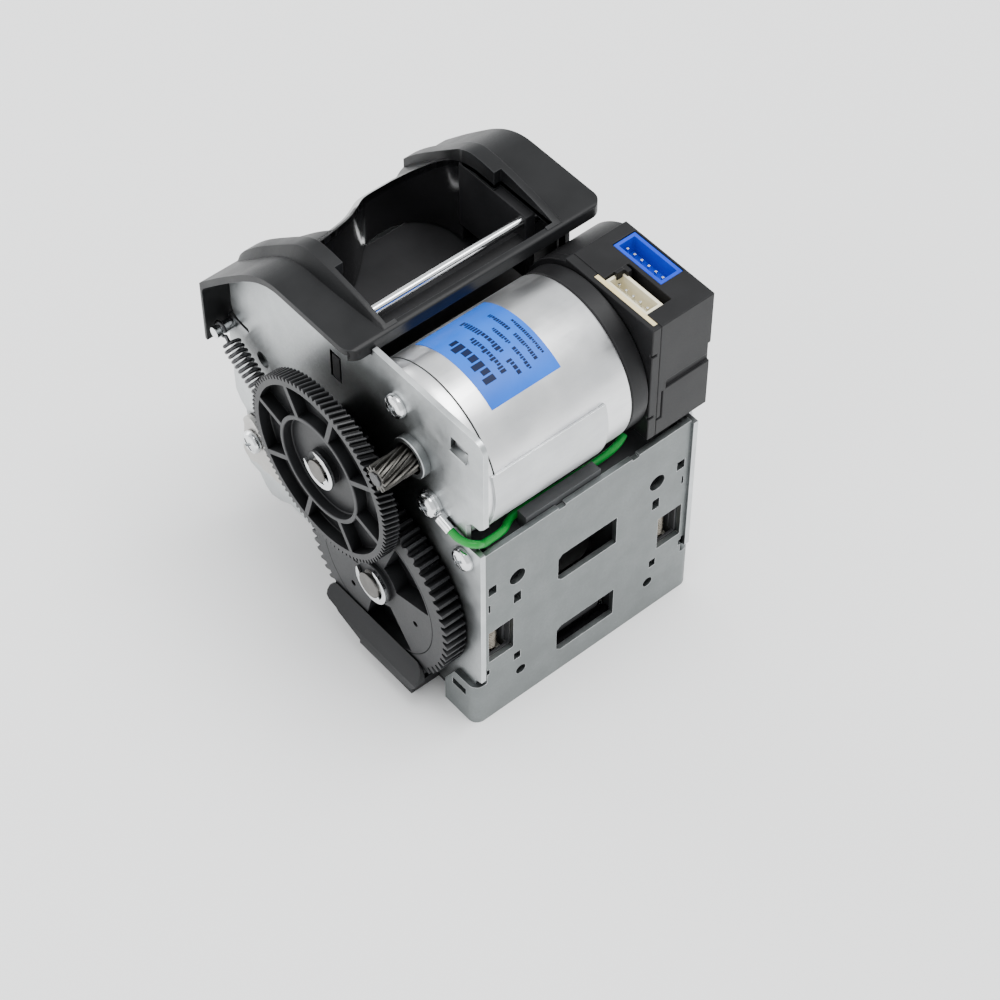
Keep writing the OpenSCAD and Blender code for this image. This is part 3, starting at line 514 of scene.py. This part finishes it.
def gear_outline(n, m, phase, k, turn):
    """Radius and angle along n teeth of module m, with k points on each flank."""
    pitch = n * m / 2
    base, root, tip = pitch * cos(PRESSURE), pitch - 1.2 * m, pitch + 0.88 * m
    out = []
    for i in range(n):
        for s in range(2 * k):
            j = s if s < k else 2 * k - 1 - s
            r = root + (tip - root) * j / (k - 1)
            roll = acos(base / r) if r > base else 0
            half = pi / 2 / n - BACKLASH / 4 / pitch + involute(PRESSURE) - involute(roll)
            a = radians(phase) + turn + 2 * pi * i / n + (-half if s < k else half)
            out.append((r, a))
    return out


def toothed(n, m, phase, k, y, z, x0, x1, r_in, lean=0.0, layers=1):
    """A toothed ring from x0 to x1 with bore r_in; its teeth turn by lean over the width."""
    verts, faces = [], []
    xs = [x0 + (x1 - x0) * i / layers for i in range(layers + 1)]
    count = n * 2 * k

    def loop(x, bore=None):
        """Adds the outline at x, or the bore there, and gives the number of its first point."""
        outline = gear_outline(n, m, phase, k, lean * ((x - x0) / (x1 - x0) - 0.5))
        first = len(verts)
        verts.extend((x, y + (bore or r) * cos(a), z + (bore or r) * sin(a)) for r, a in outline)
        return first

    outer = [loop(x) for x in xs]
    inner = [loop(xs[0], r_in), loop(xs[-1], r_in)]
    for a, b in list(zip(outer[:-1], outer[1:])) + [(outer[0], inner[0]), (outer[-1], inner[1]), inner]:
        faces += [(a + i, a + (i + 1) % count, b + (i + 1) % count, b + i) for i in range(count)]
    return verts, faces


# the compound gear: a slanted rim, a ribbed web and the small gear behind it
rim = toothed(98, FINE, MESH_A + 180 + 180 / 98, 3, *WHEEL, WX, WX + RIM, 18.9, lean=RIM * HELIX / 20.6,
              layers=3)
teeth = piece("wheel_rim_v", *rim, "gear", "compound", "gear_grey", sharp=28)
hub = [(WX + 0.8, 2.55), (WX + 0.8, 3.9), (WX + 2.2, 4.0), (WX + 2.2, 10.9), (WX + 2.0, 11.1),
       (WX + 0.15, 11.1), (WX, 11.25), (WX, 11.95), (WX + 0.15, 12.1), (WX + 2.5, 12.1), (WX + 2.62, 12.3),
       (WX + 2.62, 18.7), (WX + 2.4, 18.95), (WX + 2.4, 19.1), (WX + 3.38, 19.1), (WX + 3.38, 2.55)]
web = [lathe(hub + hub[:1], *WHEEL, seg=128)]
rib = [(11.9, -0.62), (19.0, -0.62), (19.0, 0.62), (11.9, 0.62)]   # along and across its own direction
for i in range(8):
    a = radians(16 + 45 * i)
    c, s = cos(a), sin(a)
    outline = [(WHEEL[0] + u * c - v * s, WHEEL[1] + u * s + v * c) for u, v in rib]
    web.append(prism(outline, WX + 0.02, WX + 2.8))
wheel = piece("wheel_web_v", *join(web), "gear", "compound", "gear_grey", sharp=32, bevel=0.08, segments=1)
small_gear = toothed(23, COARSE, MESH_B, 4, *WHEEL, WX + 3.35, XL - 0.7, 2.55)
small = piece("small_gear_v", *small_gear, "gear", "compound", "gear_grey", sharp=28)
for o in (teeth, wheel, small):
    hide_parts("compound_gear")

# the feed gear: a toothed ring on a web with three windows and three blind holes
ring = toothed(61, COARSE, MESH_B + 180 + 180 / 61, 4, *FEED, FX, XL - 0.5, 17.2)
feed_ring = piece("feed_teeth_v", *ring, "gear", "feed", "gear_grey", sharp=28)
disc = lathe([(FX, 4.9), (FX, 17.4), (FX + 4.78, 17.4), (FX + 4.78, 3.0), (FX - 1, 3.0), (FX - 1, 4.7),
              (FX - 0.85, 4.85), (FX, 4.9)], *FEED, seg=128)
feed_web = piece("feed_web_v", *disc, "gear", "feed", "gear_grey", sharp=32, bevel=0.1, segments=1)
windows = [prism(arc(*FEED, 16.8, a, a + 53, 20) + arc(*FEED, 6.3, a + 53, a, 8), FX - 2, FX + 3.6)
           for a in (112, 232, 352)]
holes = [lathe(bar(FX - 2, FX + 0.6, 0.01, 0.7), *polar(FEED, 12.2, a), seg=20) for a in (192, 312, 72)]
cut(feed_web, windows + holes)
for o in (feed_ring, feed_web):
    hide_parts("feed_gear")

spiral = toothed(12, FINE, MESH_A, 4, *MOTOR, WX + 0.2, XL - 1.5, 1.59, lean=-PINION * HELIX / 2.52,
                 layers=14)
pinion = piece("pinion_v", *spiral, "pinion", "rotor", "pinion_steel", sharp=28)
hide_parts("motor_pinion")


# ---------------------------------------------------------------- motor
def turned(name, rings, mat, slot, node, seg=192, a0=0, a1=360, **kw):
    """A piece of the motor: a profile turned about the motor's axis."""
    ob = piece(name, *lathe(rings, *MOTOR, seg, a0, a1), mat, "frame", slot, **kw)
    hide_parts(node)


CAN_END = XI + 37.35   # rear end of the motor's can
CAP_END = XL + 42.95   # rear end of the black ring behind it
turned("can_v", [(XI + 0.02, 2.4), (XI + 0.02, 17.3), (XI + 0.2, 17.75), (XI + 0.6, 18), (XI + 3.5, 18),
                 (XI + 3.56, 17.7), (XI + 3.8, 17.7), (XI + 3.86, 18), (CAN_END - 0.5, 18),
                 (CAN_END - 0.12, 17.86), (CAN_END, 17.6), (CAN_END, 16.6), (XI + 1.4, 16.6),
                 (XI + 1.4, 2.4), (XI + 0.02, 2.4)], "can", "can_steel", "motor_can")
turned("can_seam_v", bar(XI + 3.54, XI + 3.84, 17.6, 17.9), "deep", "can_steel", "motor_can")
turned("flux_ring_v", [(XI + 2.7, 18.03), (XI + 2.7, 18.66), (XI + 2.78, 18.74), (XI + 30.6, 18.74),
                       (XI + 30.7, 18.66), (XI + 30.7, 18.03), (XI + 2.7, 18.03)],
       "ring_steel", "can_steel", "flux_ring", seg=150, a0=161, a1=380, bevel=0.1)
turned("end_ring_v", [(CAN_END + 0.02, 16), (CAN_END + 0.02, 17.6), (CAN_END + 0.4, 17.95),
                      (CAP_END - 0.35, 17.95), (CAP_END, 17.6), (CAP_END, 1.7), (CAP_END - 1.55, 1.7),
                      (CAP_END - 1.55, 16), (CAN_END + 0.02, 16)],
       "encoder", "encoder_black", "motor_end_ring")
turned("boss_v", [(XL - 1.75, 3.5), (XL - 1.75, 4.4), (XL - 1.6, 4.54), (XL + 0.1, 4.54), (XL + 0.1, 1.66),
                  (XL + 0.3, 1.66), (XL + 0.3, 3.5), (XL - 1.6, 3.5), (XL - 1.75, 3.5)],
       "zinc", "can_steel", "motor_boss", seg=72)

# printed film, with plain bars where the print would be
FILM_R = 18.1          # outer radius of the film
INK = (FILM_R + 0.005, FILM_R + 0.018)   # the print's inner and outer radius
turned("label_v", bar(XL + 9.8, XL + 26.5, 18.01, FILM_R), "label", "label_blue", "motor_label", seg=80,
       a0=50, a1=126.5)
ROWS = (  # start along the motor, height of the print, first and last angle, length of a short mark
    (-16.4, 2.6, 74, 116, 3.1), (-12.4, 1.25, 80, 112, 1.5), (-10.1, 1.25, 62, 100, 1.5),
    (-10.1, 1.25, 106, 118, 1.5), (-7.4, 0.8, 82, 98, 1.0), (-7.4, 0.8, 101, 119, 1.0),
    (-5.2, 0.8, 70, 90, 1.0), (-5.2, 0.8, 94, 116, 1.0), (-3.3, 0.7, 84, 114, 0.9))
bars = []
for row, (x0, w, a0, a1, mark) in enumerate(ROWS):
    a, i = a0, 0
    while a < a1 - mark:
        # a worn-looking dash of varying length and height, then a gap
        long = mark * (1.0 + 1.5 * abs(noise.noise(Vector((row * 3.7, i * 1.3, 0.5)))))
        low = w * 0.3 * (noise.noise(Vector((i * 2.1, row * 1.9, 4.5))) > 0.1)
        bars.append(lathe(bar(x0 + low, x0 + w, *INK), *MOTOR, 3, a, min(a + long, a1)))
        a += long + mark * 0.45
        i += 1
piece("label_bars_v", *join(bars), "ink", "frame", "label_blue")


# ---------------------------------------------------------------- springs, wire
def spring(name, a, b, r, wire, turns, loop, mat, body, slot, node):
    """A tension spring from a to b with a round eye of radius loop at each end."""
    a, b = Vector(a), Vector(b)
    side = Vector((1, 0, 0))
    w = (b - a).normalized()
    u = (side - w * side.dot(w)).normalized()
    v = w.cross(u)
    coil_a, coil_b = a + w * loop * 1.9, b - w * loop * 1.9
    eye_a = [a + (w * cos(t) + v * sin(t)) * loop for t in [radians(q) for q in range(35, 361, 15)]]
    eye_b = [b - (w * cos(t) - v * sin(t)) * loop for t in [radians(q) for q in range(0, 326, 15)]]
    coil = []
    per_turn = 24
    steps = int(turns * per_turn)
    for i in range(steps + 1):
        t = 2 * pi * i / per_turn
        grow = min(1, 0.25 + i / 10, 0.25 + (steps - i) / 10)   # the end coils close in on the eyes
        coil.append(coil_a.lerp(coil_b, i / steps) + (v * cos(t) + u * sin(t)) * r * grow)
    ob = tube(name, eye_a + coil + eye_b, wire, mat, body, slot, sides=10)
    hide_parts(node)
    return ob


PINCH = (FEED[0] + 25.15, FEED[1])             # the pinch roller's axis
PIVOT = (PINCH[0] + 2.7, PINCH[1] + 14)        # the axis that the pinch lever swings about
HOOK, POST = (PIVOT[0] + 5.6, PIVOT[1] + 5.6), (76.8, 56.4)   # the tension spring's two ends
SX = XL - 3                                    # the plane of the tension spring
tension = spring("tension_spring_v", (SX, *HOOK), (SX, *POST), 1.8, 0.4, 12, 1.65, "spring_dark", None,
                 "spring_dark", "tension_spring")
along = (Vector(POST) - Vector(HOOK)).normalized() * 3.4   # the end rings keep their shape, the coils stretch
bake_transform(tension, "pinch_frame", "frame", P(SX, HOOK[0] + along.x, HOOK[1] + along.y),
         P(SX, POST[0] - along.x, POST[1] - along.y))
for s, side in ((-1, "l"), (1, "r")):
    spring("idler_spring_%s_v" % side, (s * 22.4, 4.2, 16.35), (s * 22.4, 4.2, 32.45), 1.6, 0.25, 22, 0.95,
           "spring_light", "frame", "spring_light", "idler_springs")

WIRE = [(-29.1, 8.9, 57.2), (-29.1, 6.8, 56.7), (-29.1, 5.2, 56.5), (-28.9, 3.8, 56.5), (-28.4, 2.4, 56.5),
        (-27.4, 1.5, 56.3), (-26.4, 1.5, 55.5), (-25.2, 1.9, 54.4), (-23.6, 2.2, 53.8), (-21.4, 2.4, 53.5),
        (-19.2, 2.9, 53.1), (-17.2, 4.2, 52.4), (-15.2, 5, 52), (-11.4, 5.2, 51.8), (-7, 5.2, 51.7),
        (-2.6, 5.1, 51.7), (1.8, 5, 51.8), (5, 4.8, 52), (7.6, 4.5, 52.6), (9.8, 4.3, 53.4),
        (11.6, 4.4, 54.2), (13, 4.9, 54.7)]
wire = tube("ground_wire_v", smooth_path(WIRE, 6), 0.8, "green", "frame", "wire_green", sides=20)
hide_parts("ground_wire")

# ---------------------------------------------------------------- hood
HL, HR = XL - 5, 1.6 - XL   # left and right ends of the hood
# side view of the hood's top, and of the humps beside its mouth, as (y, height)
CREST = [(31.6, 88.5), (40, 88.5), (47, 88.5), (52.5, 88.5), (55, 88.2), (57.6, 87.4), (60.4, 86),
         (63.2, 84.1), (66, 81.8), (72, 76.4), (77, 71.6), (79.4, 69.2), (80.25, 68), (80.6, 66.6),
         (80.6, 65.2), (80.6, 63), (80.6, 60), (80.6, 56), (80.6, 52.6)]
RIDGE = [(31.6, 88.6), (34, 89.3), (38, 90.3), (44, 91.3), (49, 91.9), (53, 92.05), (55.5, 91.7),
         (58, 90.5), (60.5, 88.7), (66, 84.2), (72, 79), (76.4, 74.4), (78.2, 71.8), (78.7, 70)]
MOUTH_L, MOUTH_R, STEP_Y = -23, 17.9, 47.7
# plan view of the mouth's curved rear edge, as (x, y)
LIP = [(16.1, 57.4), (16.2, 58.6), (15.9, 61.5), (15, 64), (13.4, 66.3), (11.2, 68.1), (8.9, 69), (6.2, 69.5),
       (3.4, 69.5), (0.6, 69), (-1.6, 67.4), (-3.8, 65.3), (-6.2, 63.2), (-8.4, 61.6), (-10.8, 60.5),
       (-13.8, 59.6), (-16.7, 58.9), (-18.7, 58.4), (-21, 57.4)]
spine = smooth(CREST, 5)


def at_y(path, y):
    """Height of a profile above a place between the front and the back."""
    for (a, b), (c, d) in zip(path[:-1], path[1:]):
        if a <= y <= c and c > a:
            return b + (d - b) * (y - a) / (c - a)
    return path[-1][1]


def ridge_loft(x_out, x_in, side):
    """One hump: a leaning outer wall, a narrow rounded crown and an upright inner wall."""
    verts, faces = [], []
    top = smooth(RIDGE, 4)
    for y, z in top:
        base = at_y(spine, min(y, 79.0))
        h = max(z - base, 0.05)
        low = base - 1.0
        section = [(x_out + side * (0.1 + 0.42 * h), low), (x_out + side * (0.1 + 0.36 * h), base),
                   (x_out + side * 0.08, z - min(0.5, 0.5 * h)), (x_out - side * 0.1, z - min(0.12, 0.2 * h)),
                   (x_out - side * 0.45, z), (x_in, z), (x_in, low)]
        verts += [(x, y, height) for x, height in section]
    n = len(section)
    for i in range(len(top) - 1):
        a, b = i * n, (i + 1) * n
        faces += [(a + k, a + (k + 1) % n, b + (k + 1) % n, b + k) for k in range(n)]
    faces += [tuple(range(n)), tuple((len(top) - 1) * n + k for k in reversed(range(n)))]
    return verts, faces


lip_line = smooth(LIP, 5)
inside = smooth(offset(CREST, 1.45), 5)
sheet = [(30.7, 85.6), (30.7, 87.6), (30.85, 88.1), (31.2, 88.4)] + spine + inside[::-1]
sheet += [(32.1, 86.9), (32.1, 85.6)]
plan = arc(HL + 3, 33.7, 3, 180, 270, 8) + arc(HR - 3, 33.7, 3, 270, 360, 8)
plan += arc(HR - 1, 79.61, 1, 0, 90, 4) + arc(HL + 1, 79.61, 1, 90, 180, 4)
hood = piece("top_cover_v", *prism(sheet, HL, HR), "hood", "frame", HOOD_SLOT, sharp=30, bevel=0.32,
             segments=3)
cut(hood, [upright(plan, 50, 95)], "INTERSECT")
mouth = upright([(MOUTH_L, 32.4), (MOUTH_R, 32.4), (MOUTH_R, STEP_Y), (MOUTH_R - 1.8, STEP_Y)] + lip_line
                + [(MOUTH_L + 2, STEP_Y), (MOUTH_L, STEP_Y)], 60, 100)
recess = upright(offset(lip_line[30:76], 0.7)
                 + [(-17.5, 70), (-21, 76), (-22, 84), (20.4, 84), (20.4, 79.6), (13.3, 73.8)], 58, 100)
humps = [piece(name, *ridge_loft(x_out, x_in, side), "hood", "frame", HOOD_SLOT, sharp=40, bevel=0.2)
         for name, x_out, x_in, side in (("left_ridge_v", MOUTH_L - 1.1, -20.9, -1),
                                         ("right_ridge_v", MOUTH_R + 1.7, 16, 1))]
for o in (hood, *humps):
    cut(o, [mouth])
    cut(o, [recess])
under = prism([(y, z) for y, z in spine if 48 < y < 79.5] + [(79.4, 66), (48, 66)], XL, -XL)
curtain = upright(lip_line + offset(lip_line, 1.4)[::-1], 60, 100)
wall = piece("curtain_v", *curtain, "scoop", "frame", HOOD_SLOT, sharp=30, bevel=0.3, segments=3)
cut(wall, [under], "INTERSECT")
sides = join([block(MOUTH_L - 1.0, MOUTH_L + 0.6, 38, 57.5, 70, 86.8),
              block(MOUTH_R - 1.9, MOUTH_R + 0.5, 38, 58.4, 70, 86.8)])
cheeks = piece("cheeks_v", *sides, "deep", "frame", HOOD_SLOT, bevel=0.2)
for o in (hood, *humps, wall, cheeks):
    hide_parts("top_cover")

# trough under the idler roller, which closes the view through the lower window
trough = [(1.7, 5.2), (1.7, 1.4), (12.0, 1.4), (12.0, 4.6), (11.2, 4.6)]
trough += arc(7.3, 7.4, 4.6, -40, -140, 10) + [(2.6, 5.2)]
tray = piece("roller_trough_v", *prism(trough, -9.2, 9.2), "deep", "frame", SLOT_OF["front_block"],
             bevel=0.15)
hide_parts("front_block")

# hook that holds the signal plug
hook = join([block(XL + 49.2, XL + 50.3, 14.4, 16.3, 81.3, 87.2),
             block(XL + 47.4, XL + 49.3, 15.4, 16.3, 85.2, 87.2)])
piece("hook_v", *hook, "deep", "frame", SLOT_OF["encoder_cap"], bevel=0.2)

# ---------------------------------------------------------------- everything else keeps its CAD shape
PLAIN = (  # node, material, width of its broken edges
    ("left_side_plate", "zinc", 0.16), ("right_side_plate", "zinc", 0.16),
    # the front plate takes the zinc painted darker as shade
    ("front_plate", "shaded_front_zinc", 0.16),
    ("rear_stay", "zinc", 0.16), ("front_guide", "deep", 0.2), ("rear_guide", "deep", 0.25),
    ("lower_guide", "guard", 0.35), ("front_block", "block", 0.25), ("mouth_rod", "chrome", 0.1),
    ("spring_post", "bright", 0.12), ("plate_screws", "bright", 0.08), ("lever_screw", "bright", 0.08),
    ("latch_lever", "lever", 0.3), ("feed_bushes", "brass", 0.1), ("gear_stub", "dark_steel", 0.1),
    ("stub_clip", "bright", 0.1), ("motor_screws", "bright", 0.08), ("encoder_base", "encoder", 0.35),
    ("encoder_cap", "encoder", 0.4), ("encoder_board", "board", 0.06), ("signal_header", "cream", 0.1),
    ("power_header", "blue", 0.1), ("header_pins", "bright", 0.06), ("ring_terminal", "bright", 0.1),
    ("motor_armature", "copper", 0.1), ("motor_shaft", "spring_dark", 0.15), ("encoder_disc", "disc", 0.05),
    ("feed_shaft", "dark_steel", 0.15), ("feed_clips", "bright", 0.1), ("drum_core", "gear", 0.2),
    ("drum_tyre", "rubber", 0.3), ("pinch_bracket", "zinc", 0.15), ("pinch_pivot", "chrome", 0.15),
    ("pinch_lever", "zinc", 0.15), ("pinch_axle", "chrome", 0.15), ("pinch_roller", "rubber", 0.3),
    ("slide_blocks", "ivory", 0.2), ("idler_axle", "chrome", 0.15), ("idler_roller", "deep", 0.3))
looks = {node: soften(node, mat, bevel) for node, mat, bevel in PLAIN}

# the left plate's top front corner is rounded
PLATE_TOP, PLATE_FRONT, CORNER_R = 87.0, -1.6, 2.6
corner = [(PLATE_FRONT - 0.3, PLATE_TOP - CORNER_R)]
corner += arc(CORNER_R + PLATE_FRONT, PLATE_TOP - CORNER_R, CORNER_R, 180, 90, 10)
corner += [(PLATE_FRONT - 0.3, PLATE_TOP + 0.3)]
cut(looks["left_side_plate"], [prism(corner, XL - 1, XI + 1)])


# ---------------------------------------------------------------- stage
def stage_plane(size, z):
    me = bpy.data.meshes.new("floor")
    corners = [(-size, -size, z), (size, -size, z), (size, size, z), (-size, size, z)]
    me.from_pydata(corners, [], [(0, 1, 2, 3)])
    ob = bpy.data.objects.new("floor", me)
    bpy.context.scene.collection.objects.link(ob)
    s = Shader("floor")
    s.set(Specular_IOR_Level=0.2, Roughness=0.7)
    s.colour(s.ramp(s.noise(9, 3), [(0.2, 0.93), (0.8, 0.945)]))
    me.materials.append(s.mat)


def area(name, at, size, power):
    """A square light at a place in metres, aimed at the object."""
    light = bpy.data.lights.new(name, "AREA")
    light.shape = "RECTANGLE"
    light.size = light.size_y = size
    light.energy = power
    ob = bpy.data.objects.new(name, light)
    bpy.context.scene.collection.objects.link(ob)
    ob.location = at
    ob.rotation_mode = "QUATERNION"
    ob.rotation_quaternion = (Vector((0, 0.035, 0.0)) - Vector(at)).to_track_quat("-Z", "Y")


stage_plane(4.0, -HOLE_Z * 0.001)
area("key", (0.22, -0.12, 1.3), 0.85, 22.5)
area("fill", (-1.0, 0.1, 0.55), 0.8, 4.1)
area("back", (-0.2, 1.2, 0.5), 0.8, 5.7)
world = bpy.data.worlds.new("world")
bpy.context.scene.world = world
world.use_nodes = True
sky = world.node_tree.nodes["Background"].inputs
sky["Color"].default_value = (0.92, 0.94, 0.95, 1)
sky["Strength"].default_value = 1.15
